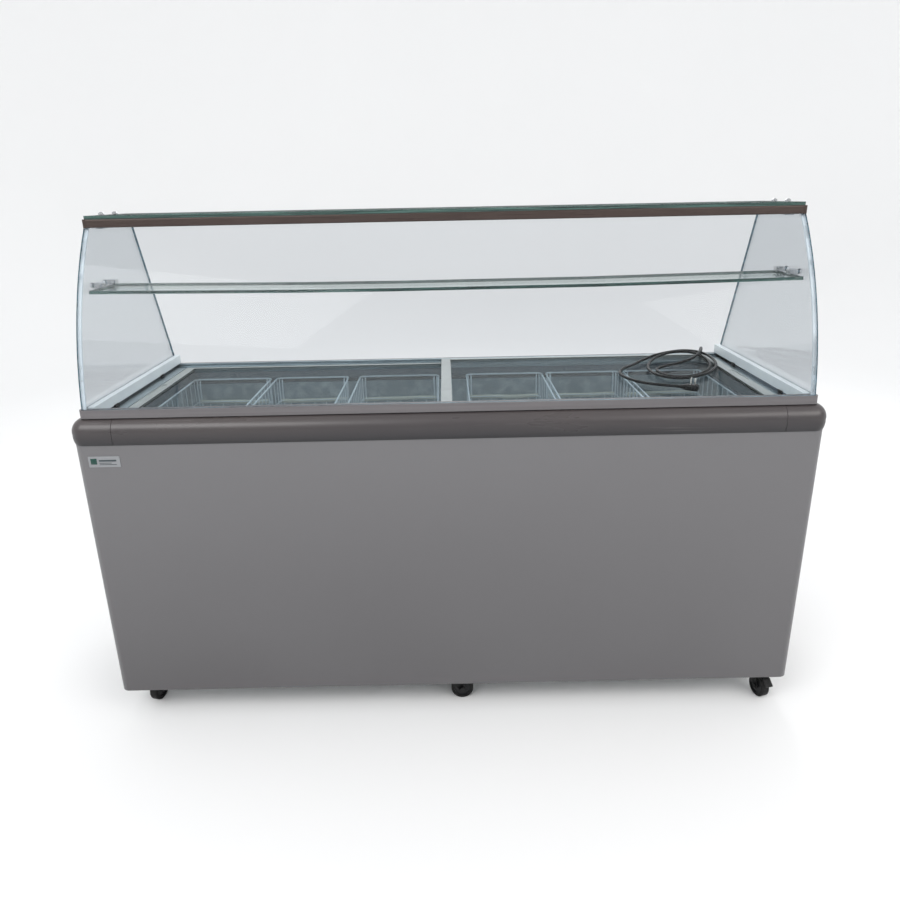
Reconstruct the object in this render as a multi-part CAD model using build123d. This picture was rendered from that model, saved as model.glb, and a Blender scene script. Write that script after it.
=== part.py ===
"""Dipping chest freezer: insulated tub on casters, two sliding glass lids, wire baskets and a
curved-glass display canopy with one shelf.

Millimetres. X runs along the front, -Y is the customer side, +Z is up. The origin is on the floor
under the middle of the cabinet.
"""

from build123d import *
import os
from math import atan2, cos, degrees, hypot, pi, radians, sin, sqrt, tan

# Cabinet shell
BODY_W = 1823.0
BODY_D = 660.0
CASTER_H = 90.0
BODY_TOP = 797.0
CORNER_R = 22.0
SHEET = 1.2
RETURN = 25.0

# Bumper that runs round the cabinet's top
BUMPER_H = 62.5
BUMPER_INNER = 24.0
BUMPER_CORNER_R = 28.0
BUMPER_CORNER_LEG = 100.0
BUMPER_SEAM = 0.5
DECK = BODY_TOP + BUMPER_H

# Refrigerated well
WELL_W = 1640.0
WELL_D = 530.0
WELL_FLOOR = 160.0
WELL_TOP = 800.0
STEP_X = 530.0
STEP_FLOOR = 440.0
LINER = 1.2
LINER_R = 12.0
WALL_FOAM = 65.0
FOAM_TOP = 826.5
FOAM_STEP = 11.8
EVAPORATOR_R = 4.0
EVAPORATOR_LEVELS = [500.0, 570.0, 640.0, 710.0, 780.0]

# Canopy frame
CANOPY_W = 1778.0
CANOPY_D = 638.0
CANOPY_CORNER_R = 10.0
RAIL_TOP = 882.5
RAIL_INNER_Y = 300.0
CHANNEL_INNER_X = 857.0
CHANNEL_TOP = 886.0
CHANNEL_REAR = 313.0

# Canopy glass
GLASS = 6.0
FRONT_GLASS_W = 1762.0
FRONT_GLASS_R = 860.0
GLASS_FOOT = (-317.0, RAIL_TOP)
GLASS_HEAD = (-143.5, 1294.0)
SEAL = 4.0
SEAL_W = 9.0
TOP_GLASS = 8.0
TOP_GLASS_W = 1764.0
TOP_GLASS_FRONT = -138.0
TOP_GLASS_REAR = 127.0
TOP_GLASS_UNDER = 1314.0
SIDE_GLASS_REAR = 312.0
SHELF = 8.0
SHELF_W = 1737.0
SHELF_FRONT = -200.0
SHELF_REAR = -35.0
SHELF_Z = 1150.0
SHELF_SAG = 8.0
STUD_R = 3.5
STUD_HOLE_R = 3.6
GLASS_HOLE_R = 4.2
TOP_STUD_X = 860.5
SHELF_CLAMP_YS = [-143.0, -70.0]
TOP_CLAMP_YS = [-80.0, 0.0]

# Sliding lids
LID_END = 828.0
LID_OVERLAP = 20.0
LID_BAR = 28.0
LID_EDGE = 14.0
LID_THICK = 8.0
LID_GLASS = 4.0
LID_GROOVE = 6.0
LID_GAP = 0.2
TRACK_BASE = 836.0
LOWER_LEDGE = 842.5
UPPER_LEDGE = 852.3
TRACK_TOP = 860.5
LOWER_LEDGE_Y = 280.0
UPPER_LEDGE_Y = 290.0
TRACK_INNER_Y = 268.0
LID_SIDE_GAP = 1.0
PAD_YS = [-185.0, 140.0]

# Wire baskets: low and high X of each rim
BASKET_SPANS = [(-803.0, -556.0), (-543.0, -312.0), (-280.0, -27.0),
                (55.0, 297.0), (306.0, 540.0), (551.0, 797.0)]
RIM_WIRE = 5.0
MESH_WIRE = 3.0
BASKET_RIM_Y = 260.5
BASKET_WALL_Y = 251.0
BASKET_RIM_Z = 815.0
BASKET_DEPTH = 255.0
MESH_PITCH = 41.0
LEDGE_TOP = 812.0
LEDGE_H = 6.0
LEDGE = 9.0

# Casters: swivel position and the way each one trails at rest, in degrees from +X
CASTERS = [(-854.0, -262.0, 75.0), (0.0, -262.0, 0.0), (854.0, -262.0, -75.0),
           (-854.0, 262.0, 140.0), (0.0, 262.0, 20.0), (854.0, 262.0, 60.0)]
BRAKED = [0, 2]
WHEEL_R = 31.0
WHEEL_W = 22.0
TRAIL = 22.0
AXLE_R = 4.0
KINGPIN_R = 5.0
RUN_GAP = 0.05

# Condensing unit, in the right end under the step
COMPARTMENT_X = 596.0
COMPARTMENT_TOP = STEP_FLOOR - LINER - WALL_FOAM
UNIT_X = 745.0
COMPRESSOR_Y = -70.0
FAN_Z = 225.0
FAN_Y = 215.0
FAN_R = 88.0
KNOB_X = 640.0
KNOB_Z = 318.0

# Mains cord
CORD_R = 4.0
GLAND = (850.0, 345.0, 300.0)
REAR_ROUTE = [(850.0, 345.0, 322.0), (850.0, 345.0, 376.0), (848.0, 350.0, 456.0),
              (843.0, 355.0, 560.0), (839.0, 359.0, 660.0), (832.0, 360.0, 760.0),
              (828.0, 361.0, 838.0), (822.0, 352.0, 860.0), (812.0, 322.0, 879.0),
              (803.0, 290.0, 879.0), (795.0, 258.0, 877.0), (785.0, 227.0, 876.0)]
LEAD_ROUTE = [(713.0, 274.0, 875.0), (652.0, 246.0, 872.0), (596.0, 192.0, 867.5),
              (553.0, 130.0, 865.3), (507.0, 80.0, 865.1), (484.5, 24.0, 865.1),
              (493.5, -36.0, 865.1), (527.0, -94.0, 865.1), (568.8, -136.5, 869.5),
              (612.9, -159.0, 869.5)]
COIL_CENTRE = (689.0, 112.0)
COIL_OUTER = (192.0, 110.0)
COIL_INNER = (141.0, 62.0)
COIL_TURN = 66.0
COIL_Z = (861.1, 883.1)

HALF_W = BODY_W / 2
HALF_D = BODY_D / 2
NODES = {}


def box(x0, x1, y0, y1, z0, z1):
    """Block between two corners."""
    return Pos((x0 + x1) / 2, (y0 + y1) / 2, (z0 + z1) / 2) * Box(x1 - x0, y1 - y0, z1 - z0)


def rod_z(x, y, z0, z1, r):
    return Pos(x, y, (z0 + z1) / 2) * Cylinder(r, z1 - z0)


def rod_x(x0, x1, y, z, r):
    return Pos((x0 + x1) / 2, y, z) * Rot(0, 90, 0) * Cylinder(r, x1 - x0)


def rod_y(x, y0, y1, z, r):
    return Pos(x, (y0 + y1) / 2, z) * Rot(90, 0, 0) * Cylinder(r, y1 - y0)


def outline(points):
    return make_face(Polyline(*points, close=True))


def prism_x(face, x0, x1):
    """Extrude a face drawn in (Y, Z) from x0 to x1."""
    return Pos(x0, 0, 0) * extrude(Plane.YZ * face, amount=x1 - x0)


def prism_y(face, y0, y1):
    """Extrude a face drawn in (X, Z) from y0 to y1."""
    return Pos(0, y1, 0) * extrude(Plane.XZ * face, amount=y1 - y0)


def prism_z(face, z0, z1):
    return Pos(0, 0, z0) * extrude(face, amount=z1 - z0)


def both_ends(part):
    """The part and its mirror image at the other end of the cabinet."""
    return [part, mirror(part, about=Plane.YZ)]


def dome(edge, top):
    """Round arc from a rim point (radius, height) up or down to a point on the axis."""
    radius, height = edge
    rise = top - height
    centre = (height + top) / 2 - radius ** 2 / (2 * rise)
    reach = abs(top - centre)
    middle = radius * 0.7
    side = 1 if rise > 0 else -1
    return ThreePointArc(edge, (middle, centre + side * sqrt(reach ** 2 - middle ** 2)), (0, top))


def front_and_rear(part):
    return [part, mirror(part, about=Plane.XZ)]


def save(name, *parts):
    """Keep a node as the list of its separate solids."""
    solids = []
    for part in parts:
        group = part if isinstance(part, list) else [part]
        for piece in group:
            solids += piece.solids()
    NODES[name] = solids


# ---------------------------------------------------------------- cabinet


def plan(inset, z0, z1):
    """The cabinet's rounded plan, drawn in by an inset, between two heights."""
    face = RectangleRounded(BODY_W - 2 * inset, BODY_D - 2 * inset, CORNER_R - inset)
    return prism_z(face, z0, z1)


def cabinet_shell():
    """Front and back sheets with folded returns round the corners, and two side sheets."""
    wall = plan(0, CASTER_H, BODY_TOP) - plan(SHEET, CASTER_H, BODY_TOP)
    split = HALF_D - RETURN
    front = wall & box(-HALF_W, HALF_W, -HALF_D, -split, CASTER_H, BODY_TOP)
    back = wall & box(-HALF_W, HALF_W, split, HALF_D, CASTER_H, BODY_TOP)
    side = wall & box(0, HALF_W, -split, split, CASTER_H, BODY_TOP)
    window = box(614, 870, split, HALF_D, 105, 360)
    save("front_panel", front)
    save("back_panel", back - window)
    save("side_panels", both_ends(side))


def base_pan():
    """Floor sheet with air slots under the condensing unit."""
    pan = plan(SHEET, CASTER_H, CASTER_H + SHEET)
    for index in range(7):
        x = 640 + 30 * index
        pan -= box(x, x + 10, 60, 200, CASTER_H, CASTER_H + SHEET)
    save("base_pan", pan)


def wall_section(inner, outer, z0):
    """Foam wall in section, from the liner out to the sheet, with a step under the bumper."""
    return outline([(inner, z0), (outer, z0), (outer, BODY_TOP), (outer + SHEET - BUMPER_INNER, BODY_TOP),
                    (outer + SHEET - BUMPER_INNER, FOAM_TOP), (inner + FOAM_STEP, FOAM_TOP),
                    (inner + FOAM_STEP, WELL_TOP), (inner, WELL_TOP)])


def evaporator_grooves():
    """Room for the evaporator pipe in the foam's inner faces, its risers and its return."""
    reach = 2 * EVAPORATOR_R + 1
    x = WELL_W / 2 + LINER + reach
    y = WELL_D / 2 + LINER + reach
    grooves = [box(-x, x, -y, y, z - reach / 2, z + reach / 2) for z in EVAPORATOR_LEVELS]
    top = EVAPORATOR_LEVELS[-1]
    inlet = box(687, 713, y - reach - 1, y, COMPARTMENT_TOP - 1, top + reach / 2)
    riser = box(727, 753, y - reach - 1, y, EVAPORATOR_LEVELS[0], top + reach / 2)
    jog = box(727, 762, y - reach - 1, y + 36, top - 20, top + reach / 2)
    suction = box(727, 753, y + 18, y + 36, COMPARTMENT_TOP - 1, top + reach / 2)
    return grooves + [inlet, riser, jog, suction]


def foam():
    """Foam slabs round the tub, over the machine compartment and under the floor."""
    inner_x = WELL_W / 2 + LINER
    inner_y = WELL_D / 2 + LINER
    outer_x = HALF_W - SHEET
    outer_y = HALF_D - SHEET
    low = CASTER_H + SHEET
    high = COMPARTMENT_TOP
    floor = WELL_FLOOR - LINER
    step = STEP_FLOOR - LINER
    long_wall = prism_x(wall_section(inner_y, outer_y, low), -outer_x, COMPARTMENT_X)
    short_wall = prism_x(wall_section(inner_y, outer_y, high), COMPARTMENT_X, outer_x)
    slabs = front_and_rear(long_wall) + front_and_rear(short_wall)
    for side, z0 in ((1, high), (-1, low)):
        end = prism_y(wall_section(inner_x, outer_x, z0), -inner_y, inner_y)
        slabs.append(end if side > 0 else mirror(end, about=Plane.YZ))
    slabs.append(box(-inner_x, STEP_X + LINER, -inner_y, inner_y, low, floor))
    slabs.append(box(STEP_X + LINER, COMPARTMENT_X, -inner_y, inner_y, low, step))
    slabs.append(box(COMPARTMENT_X, inner_x, -inner_y, inner_y, high, step))
    rounded = plan(SHEET, low, BODY_TOP) + deck_plan(BODY_TOP, FOAM_TOP)
    grooves = evaporator_grooves()
    cut = []
    for slab in slabs:
        slab = slab & rounded
        for groove in grooves:
            slab -= groove
        cut.append(slab)
    save("foam_insulation", cut)


def deck_plan(z0, z1):
    """The area inside the bumper, between two heights."""
    face = RectangleRounded(BODY_W - 2 * BUMPER_INNER, BODY_D - 2 * BUMPER_INNER,
                            BUMPER_CORNER_R - BUMPER_INNER)
    return prism_z(face, z0, z1)


def tub(grow):
    """The well's volume, grown outwards, with the step at its right end."""
    face = RectangleRounded(WELL_W + 2 * grow, WELL_D + 2 * grow, LINER_R + grow)
    deep = prism_z(face, WELL_FLOOR - grow, WELL_TOP)
    step = box(STEP_X + grow, HALF_W, -HALF_D, HALF_D, 0, STEP_FLOOR - grow)
    return deep - step


def inner_liner():
    save("inner_liner", tub(LINER) - tub(0))


def breaker_strips():
    """Plastic top frame: it closes the foam, carries the baskets and holds the lid tracks."""
    x = WELL_W / 2
    y = WELL_D / 2
    lip = LINER + FOAM_STEP
    upper = box(-x - lip, x + lip, -y - lip, y + lip, WELL_TOP, DECK)
    ring = deck_plan(FOAM_TOP, DECK) + upper - box(-x, x, -y, y, 0, DECK)
    ring += box(-x, x, -y, y, LEDGE_TOP - LEDGE_H, LEDGE_TOP)
    ring -= box(-x + LEDGE, x - LEDGE, -y + LEDGE, y - LEDGE, 0, DECK)
    ring -= box(-CHANNEL_INNER_X, CHANNEL_INNER_X, -RAIL_INNER_Y, RAIL_INNER_Y, TRACK_BASE, DECK)
    above = box(-HALF_W, HALF_W, -HALF_D, HALF_D, TRACK_BASE, DECK)
    rim = ring & above
    seat = ring - above
    between_y = box(-HALF_W, HALF_W, -y + LEDGE, y - LEDGE, 0, DECK)
    between_x = box(-CHANNEL_INNER_X, CHANNEL_INNER_X, -HALF_D, HALF_D, 0, DECK)
    save("breaker_strips", seat - between_y, seat & between_y, rim & between_x, rim - between_x)


# ---------------------------------------------------------------- bumper


def bumper_face():
    """Bumper in section: first axis is outwards from the cabinet's face, second is up."""
    bulge = (6.0, 25.0)
    back = (-BUMPER_INNER, BUMPER_H)
    brow = (-17.0, BUMPER_H)
    heel = (-BUMPER_INNER, 0.0)
    toe = (2.2, 0.0)
    edges = [Line(heel, toe), ThreePointArc(toe, (5.2, 10.0), bulge),
             ThreePointArc(bulge, (1.0, 48.0), brow), Line(brow, back), Line(back, heel)]
    return make_face(edges)


def bumper():
    """Straight lengths on four sides and a moulding round each corner."""
    face = bumper_face()
    leg_x = HALF_W - BUMPER_CORNER_LEG
    leg_y = HALF_D - BUMPER_CORNER_LEG
    long_run = Pos(-leg_x, HALF_D, BODY_TOP) * extrude(Plane.YZ * face, amount=2 * leg_x)
    end_run = Pos(HALF_W, leg_y, BODY_TOP) * extrude(Plane.XZ * face, amount=2 * leg_y)
    save("bumper_rails", front_and_rear(long_run), both_ends(end_run))
    turn_x = HALF_W - BUMPER_CORNER_R
    turn_y = HALF_D - BUMPER_CORNER_R
    start_x = leg_x + BUMPER_SEAM
    start_y = leg_y + BUMPER_SEAM
    along_x = Pos(start_x, HALF_D, BODY_TOP) * extrude(Plane.YZ * face, amount=turn_x - start_x)
    along_y = Pos(HALF_W, turn_y, BODY_TOP) * extrude(Plane.XZ * face, amount=turn_y - start_y)
    wheel = revolve(Plane.XZ * (Pos(BUMPER_CORNER_R, 0) * face), axis=Axis.Z, revolution_arc=90)
    corner = along_x + Pos(turn_x, turn_y, BODY_TOP) * wheel + along_y
    corners = []
    for piece in both_ends(corner):
        corners += front_and_rear(piece)
    save("bumper_corners", corners)


# ---------------------------------------------------------------- canopy frame


def front_rail():
    """Rail that the front glass stands on, with a shadow gap over the bumper and rounded ends."""
    half = CANOPY_W / 2
    outer = CANOPY_D / 2
    section = outline([(RAIL_INNER_Y, DECK), (outer - 3, DECK), (outer - 3, DECK + 1.8), (outer, DECK + 1.8),
                       (outer, RAIL_TOP), (RAIL_INNER_Y, RAIL_TOP)])
    rail = prism_x(section, -half, half)
    rail &= prism_z(RectangleRounded(CANOPY_W, CANOPY_D, CANOPY_CORNER_R), DECK, RAIL_TOP)
    save("front_rail", mirror(rail, about=Plane.XZ))


def side_channels():
    """White channels at both ends, with a step that the side glass stands on."""
    ledge = FRONT_GLASS_W / 2 - GLASS - 1
    section = outline([(CHANNEL_INNER_X, DECK), (CANOPY_W / 2, DECK), (CANOPY_W / 2, RAIL_TOP),
                       (ledge, RAIL_TOP), (ledge, CHANNEL_TOP), (CHANNEL_INNER_X, CHANNEL_TOP)])
    save("side_channels", both_ends(prism_y(section, -RAIL_INNER_Y, CHANNEL_REAR)))


def lid_tracks():
    """Two stepped tracks, an upper ledge for the right lid and a lower one for the left lid."""
    section = outline([(TRACK_INNER_Y, TRACK_BASE), (RAIL_INNER_Y, TRACK_BASE), (RAIL_INNER_Y, TRACK_TOP),
                       (UPPER_LEDGE_Y, TRACK_TOP), (UPPER_LEDGE_Y, UPPER_LEDGE),
                       (LOWER_LEDGE_Y, UPPER_LEDGE), (LOWER_LEDGE_Y, LOWER_LEDGE),
                       (TRACK_INNER_Y, LOWER_LEDGE)])
    track = prism_x(section, -CHANNEL_INNER_X, CHANNEL_INNER_X)
    end = box(LID_END + LID_SIDE_GAP, CHANNEL_INNER_X, -TRACK_INNER_Y, TRACK_INNER_Y, TRACK_BASE,
              UPPER_LEDGE)
    save("lid_tracks", front_and_rear(track), both_ends(end))


def rubber_pads():
    pads = []
    for y in PAD_YS:
        pad = box(CHANNEL_INNER_X - 4, CHANNEL_INNER_X, y - 11, y + 11, UPPER_LEDGE + 1, UPPER_LEDGE + 10)
        pads += both_ends(pad)
    save("rubber_pads", pads)


# ---------------------------------------------------------------- canopy glass


def arc_centre():
    """Centre of the front glass's outer arc in (Y, Z)."""
    dy = GLASS_HEAD[0] - GLASS_FOOT[0]
    dz = GLASS_HEAD[1] - GLASS_FOOT[1]
    chord = hypot(dy, dz)
    reach = sqrt(FRONT_GLASS_R ** 2 - (chord / 2) ** 2)
    y = (GLASS_HEAD[0] + GLASS_FOOT[0]) / 2 + dz / chord * reach
    z = (GLASS_HEAD[1] + GLASS_FOOT[1]) / 2 - dy / chord * reach
    return y, z


def arc_band(outer, inner, x0, x1):
    """A strip of the front glass's arc between two radii, from the rail to the head rail."""
    y, z = arc_centre()
    ring = Pos(y, z) * (Circle(outer) - Circle(inner))
    window = box(x0, x1, -400, -100, GLASS_FOOT[1], GLASS_HEAD[1])
    return prism_x(ring, x0, x1) & window


def front_glass():
    half = FRONT_GLASS_W / 2
    save("front_glass", arc_band(FRONT_GLASS_R, FRONT_GLASS_R - GLASS, -half, half))
    back = FRONT_GLASS_R - GLASS
    save("glass_seals", both_ends(arc_band(back, back - SEAL, half - SEAL_W, half)))


def side_glass():
    """Flat end glass with a curved front edge, a slanted rear edge and drilled stud holes."""
    y, z = arc_centre()
    disc = Pos(y, z) * Circle(FRONT_GLASS_R - GLASS - SEAL)
    blank = outline([(-400, RAIL_TOP), (SIDE_GLASS_REAR, RAIL_TOP), (SIDE_GLASS_REAR, CHANNEL_TOP),
                     (TOP_GLASS_REAR + 3, TOP_GLASS_UNDER), (-400, TOP_GLASS_UNDER)])
    outer = FRONT_GLASS_W / 2
    pane = prism_x(blank & disc, outer - GLASS, outer)
    for hole_y, hole_z in side_studs():
        pane -= rod_x(outer - GLASS, outer, hole_y, hole_z, GLASS_HOLE_R)
    save("side_glasses", both_ends(pane))


def side_studs():
    """(Y, Z) of the studs through a side glass: two for the shelf and two for the top."""
    shelf = [(y, SHELF_Z + 7) for y in SHELF_CLAMP_YS]
    top = [(y, TOP_GLASS_UNDER - 15) for y in TOP_CLAMP_YS]
    return shelf + top


def top_glass():
    pane = box(-TOP_GLASS_W / 2, TOP_GLASS_W / 2, TOP_GLASS_FRONT, TOP_GLASS_REAR, TOP_GLASS_UNDER,
               TOP_GLASS_UNDER + TOP_GLASS)
    pane = fillet(pane.edges().filter_by(Axis.Z), 8)
    for y in TOP_CLAMP_YS:
        for x in (-TOP_STUD_X, TOP_STUD_X):
            pane -= rod_z(x, y, TOP_GLASS_UNDER, TOP_GLASS_UNDER + TOP_GLASS, GLASS_HOLE_R)
    save("top_glass", pane)


def head_rail():
    """Polished rail under the top glass's front edge, with a cap on each end."""
    end = FRONT_GLASS_W / 2 - GLASS - 1
    rail = box(-end, end, -146, -128, GLASS_HEAD[1], TOP_GLASS_UNDER)
    rail = fillet(rail.edges().filter_by(Axis.X).sort_by(Axis.Y)[:2], 3)
    cap = box(end, TOP_GLASS_W / 2 - 1, -146, -135, GLASS_HEAD[1], TOP_GLASS_UNDER)
    cap = fillet(cap.edges().filter_by(Axis.Z).sort_by(Axis.X)[-2:], 2)
    save("head_rail", rail, both_ends(cap))


def glass_shelf():
    """Shelf glass that sags a little between its end clamps."""
    half = SHELF_W / 2

    def bow(z):
        return ThreePointArc((-half, z), (0, z - SHELF_SAG), (half, z))

    face = make_face([bow(SHELF_Z), Line((half, SHELF_Z), (half, SHELF_Z - SHELF)), bow(SHELF_Z - SHELF),
                      Line((-half, SHELF_Z - SHELF), (-half, SHELF_Z))])
    save("glass_shelf", prism_y(face, SHELF_FRONT, SHELF_REAR))


def clamps():
    """Metal blocks on the side glasses: four slotted ones that hold the shelf, four under the top."""
    face_x = FRONT_GLASS_W / 2 - GLASS
    blocks = []
    for y, z in side_studs():
        shelf = z < TOP_GLASS_UNDER - 50
        bottom = SHELF_Z - SHELF - 6 if shelf else TOP_GLASS_UNDER - 24
        top = SHELF_Z + 13 if shelf else TOP_GLASS_UNDER
        block = box(face_x - 22, face_x, y - 11, y + 11, bottom, top)
        block = fillet(block.edges().filter_by(Axis.Z).sort_by(Axis.X)[:2], 3)
        block -= rod_x(face_x - 5, face_x, y, z, STUD_HOLE_R)
        if shelf:
            block -= box(face_x - 22, face_x - 6, y - 11, y + 11, SHELF_Z - SHELF - 0.6, SHELF_Z + 0.4)
        else:
            block -= rod_z(TOP_STUD_X, y, top - 8, top, STUD_HOLE_R)
        blocks += both_ends(block)
    save("glass_clamps", blocks)


def cap_nut(length):
    """Stud down to -length with a domed head that sits on z = 0."""
    edges = [Line((0, -length), (STUD_R, -length)), Line((STUD_R, -length), (STUD_R, 0)),
             Line((STUD_R, 0), (7, 0)), Line((7, 0), (7, 4)), dome((7, 4), 8),
             Line((0, 8), (0, -length))]
    return revolve(Plane.XZ * make_face(edges), axis=Axis.Z)


def cap_nuts():
    outer = FRONT_GLASS_W / 2
    nuts = []
    for y, z in side_studs():
        nuts += both_ends(Pos(outer, y, z) * Rot(0, 90, 0) * cap_nut(GLASS + 4.5))
    for y in TOP_CLAMP_YS:
        nuts += both_ends(Pos(TOP_STUD_X, y, TOP_GLASS_UNDER + TOP_GLASS) * cap_nut(TOP_GLASS + 7))
    save("cap_nuts", nuts)


def name_plate():
    """Blank plate near the cabinet's top left corner."""
    plate = box(-880, -803, -HALF_D - 1.5, -HALF_D, 742, 770)
    save("name_plate", fillet(plate.edges().filter_by(Axis.Y), 2))


# ---------------------------------------------------------------- lids


def lid(x0, x1, half_depth, z0):
    """Four edge profiles with a groove all round the pane, and the pane in it."""
    z1 = z0 + LID_THICK
    groove_z = z0 + (LID_THICK - LID_GLASS) / 2 + 0.8
    pane = box(x0 + LID_BAR - LID_GROOVE, x1 - LID_BAR + LID_GROOVE, -half_depth + LID_EDGE - LID_GROOVE,
               half_depth - LID_EDGE + LID_GROOVE, groove_z, groove_z + LID_GLASS)
    ends = [box(x0, x0 + LID_BAR, -half_depth, half_depth, z0, z1),
            box(x1 - LID_BAR, x1, -half_depth, half_depth, z0, z1)]
    edge = box(x0 + LID_BAR, x1 - LID_BAR, half_depth - LID_EDGE, half_depth, z0, z1)
    profiles = [piece - pane for piece in ends + front_and_rear(edge)]
    return profiles, pane


def finger_recess(x, z1):
    """Shallow scoop in a lid's end profile for pulling it."""
    scoop = box(x - 7, x + 7, -60, 60, z1 - 2.2, z1)
    return fillet(scoop.edges().filter_by(Axis.Z), 6)


def lids():
    upper_half = UPPER_LEDGE_Y - LID_SIDE_GAP
    lower_half = LOWER_LEDGE_Y - LID_SIDE_GAP
    frame, pane = lid(-LID_END, LID_OVERLAP / 2, lower_half, LOWER_LEDGE + LID_GAP)
    frame[0] -= finger_recess(-LID_END + 9, LOWER_LEDGE + LID_GAP + LID_THICK)
    save("left_lid_frame", frame)
    save("left_lid_glass", pane)
    frame, pane = lid(-LID_OVERLAP, LID_END, upper_half, UPPER_LEDGE + LID_GAP)
    frame[1] -= finger_recess(LID_END - 9, UPPER_LEDGE + LID_GAP + LID_THICK)
    save("right_lid_frame", frame)
    save("right_lid_glass", pane)


# ---------------------------------------------------------------- baskets


def grid(width, height, wire, pitch):
    """Flat wire grid: border wires and evenly spaced bars about a pitch apart."""
    columns = max(1, round(width / pitch))
    rows = max(1, round(height / pitch))
    step_x = (width - wire) / columns
    step_y = (height - wire) / rows
    cells = GridLocations(step_x, step_y, columns, rows) * Rectangle(step_x - wire, step_y - wire)
    return Rectangle(width, height) - cells


def basket(x0, x1):
    """Floor, four walls and two hanging strips, each a flat grid of welded wire."""
    middle = (x0 + x1) / 2
    width = x1 - x0
    wall_top = BASKET_RIM_Z - RIM_WIRE / 2
    floor_z = BASKET_RIM_Z - BASKET_DEPTH
    wall_h = wall_top - floor_z - MESH_WIRE
    wall_z = floor_z + MESH_WIRE + wall_h / 2
    depth = 2 * BASKET_WALL_Y
    half = MESH_WIRE / 2
    floor = Pos(middle, 0, floor_z) * extrude(grid(width, depth, MESH_WIRE, MESH_PITCH), MESH_WIRE)
    long_grid = grid(depth - 2 * MESH_WIRE, wall_h, MESH_WIRE, MESH_PITCH * 1.5)
    short_grid = grid(width, wall_h, MESH_WIRE, MESH_PITCH * 1.2)
    rear = prism_y(Pos(middle, wall_z) * short_grid, BASKET_WALL_Y - MESH_WIRE, BASKET_WALL_Y)
    right = prism_x(Pos(0, wall_z) * long_grid, x1 - MESH_WIRE, x1)
    left = Pos(-width + MESH_WIRE, 0, 0) * right
    hook_in = BASKET_WALL_Y - MESH_WIRE
    hook_out = BASKET_RIM_Y + RIM_WIRE / 2
    hook_mid = (hook_in + hook_out) / 2
    hook_face = grid(width, hook_out - hook_in, MESH_WIRE, MESH_PITCH * 1.2)
    hook = Pos(middle, hook_mid, wall_top) * extrude(hook_face, RIM_WIRE)
    side_rim = box(x1 - MESH_WIRE - half, x1, -hook_in, hook_in, wall_top, wall_top + RIM_WIRE)
    side_rims = [side_rim, Pos(-width + MESH_WIRE + half, 0, 0) * side_rim]
    return [floor] + front_and_rear(rear) + [left, right] + front_and_rear(hook) + side_rims


def baskets():
    for index, (x0, x1) in enumerate(BASKET_SPANS, start=1):
        save(f"basket_{index}", basket(x0, x1))


# ---------------------------------------------------------------- casters


def caster_plates():
    """Top plate, ball-race boss and kingpin of each caster."""
    plates = []
    for x, y, _ in CASTERS:
        plate = box(x - 40, x + 40, y - 30, y + 30, CASTER_H - 3.5, CASTER_H)
        plate = fillet(plate.edges().filter_by(Axis.Z), 6)
        boss = rod_z(x, y, 79, CASTER_H - 3.5, 20)
        pin = rod_z(x, y, 66.2, 79, KINGPIN_R)
        head = rod_z(x, y, 64.2, 66.2, 8)
        plates.append(plate + boss + pin + head)
    save("caster_plates", plates)


def turned(part, x, y, heading):
    """Place a caster piece, made trailing along +X, at its swivel axis."""
    return Pos(x, y, 0) * Rot(0, 0, heading) * part


def caster_fork(braked):
    """Crown, two legs and axle bolt, with a foot lever on a braked caster."""
    crown_z = 66.4
    crown = rod_z(0, 0, crown_z, 78.7, 24) - rod_z(0, 0, crown_z, 78.7, KINGPIN_R + RUN_GAP)
    inner = WHEEL_W / 2 + 1.2
    outer = inner + 2.5
    leg_face = outline([(-17, crown_z), (-17, 58), (TRAIL - 8, 24), (TRAIL + 8, 24), (TRAIL + 10, 34),
                        (21, crown_z)])
    leg = prism_y(leg_face, inner, outer) - rod_y(TRAIL, inner, outer, WHEEL_R, AXLE_R)
    axle = rod_y(TRAIL, -outer - 3, outer + 4, WHEEL_R, AXLE_R)
    nut = extrude(Plane.XZ * (Pos(TRAIL, WHEEL_R) * RegularPolygon(7, 6)), amount=4)
    bolt = axle + Pos(0, outer + 4, 0) * nut + rod_y(TRAIL, -outer - 3, -outer, WHEEL_R, 7)
    pieces = [crown, bolt] + front_and_rear(leg)
    if braked:
        lever = outline([(24.5, 69), (24.5, 65), (46, 63), (62, 50), (64, 52.5), (48, 68)])
        pieces.append(prism_y(lever, -11, 11))
    return pieces


def caster_wheel():
    """Wheel with rounded tread edges, a raised hub on each side and its axle hole."""
    tread = rod_y(TRAIL, -WHEEL_W / 2, WHEEL_W / 2, WHEEL_R, WHEEL_R)
    tread = fillet(tread.edges(), 4)
    dish = rod_y(TRAIL, WHEEL_W / 2 - 3, WHEEL_W / 2, WHEEL_R, 22) - rod_y(
        TRAIL, WHEEL_W / 2 - 3, WHEEL_W / 2, WHEEL_R, 9)
    hub = rod_y(TRAIL, -WHEEL_W / 2 - 0.8, WHEEL_W / 2 + 0.8, WHEEL_R, 9)
    wheel = tread - dish - mirror(dish, about=Plane.XZ) + hub
    return wheel - rod_y(TRAIL, -WHEEL_W, WHEEL_W, WHEEL_R, AXLE_R + RUN_GAP)


def casters():
    wheel = caster_wheel()
    for index, (x, y, heading) in enumerate(CASTERS):
        fork = caster_fork(index in BRAKED)
        save(f"caster_{index + 1}_fork", [turned(piece, x, y, heading) for piece in fork])
        save(f"caster_{index + 1}_wheel", turned(wheel, x, y, heading))


# ---------------------------------------------------------------- condensing unit


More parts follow.
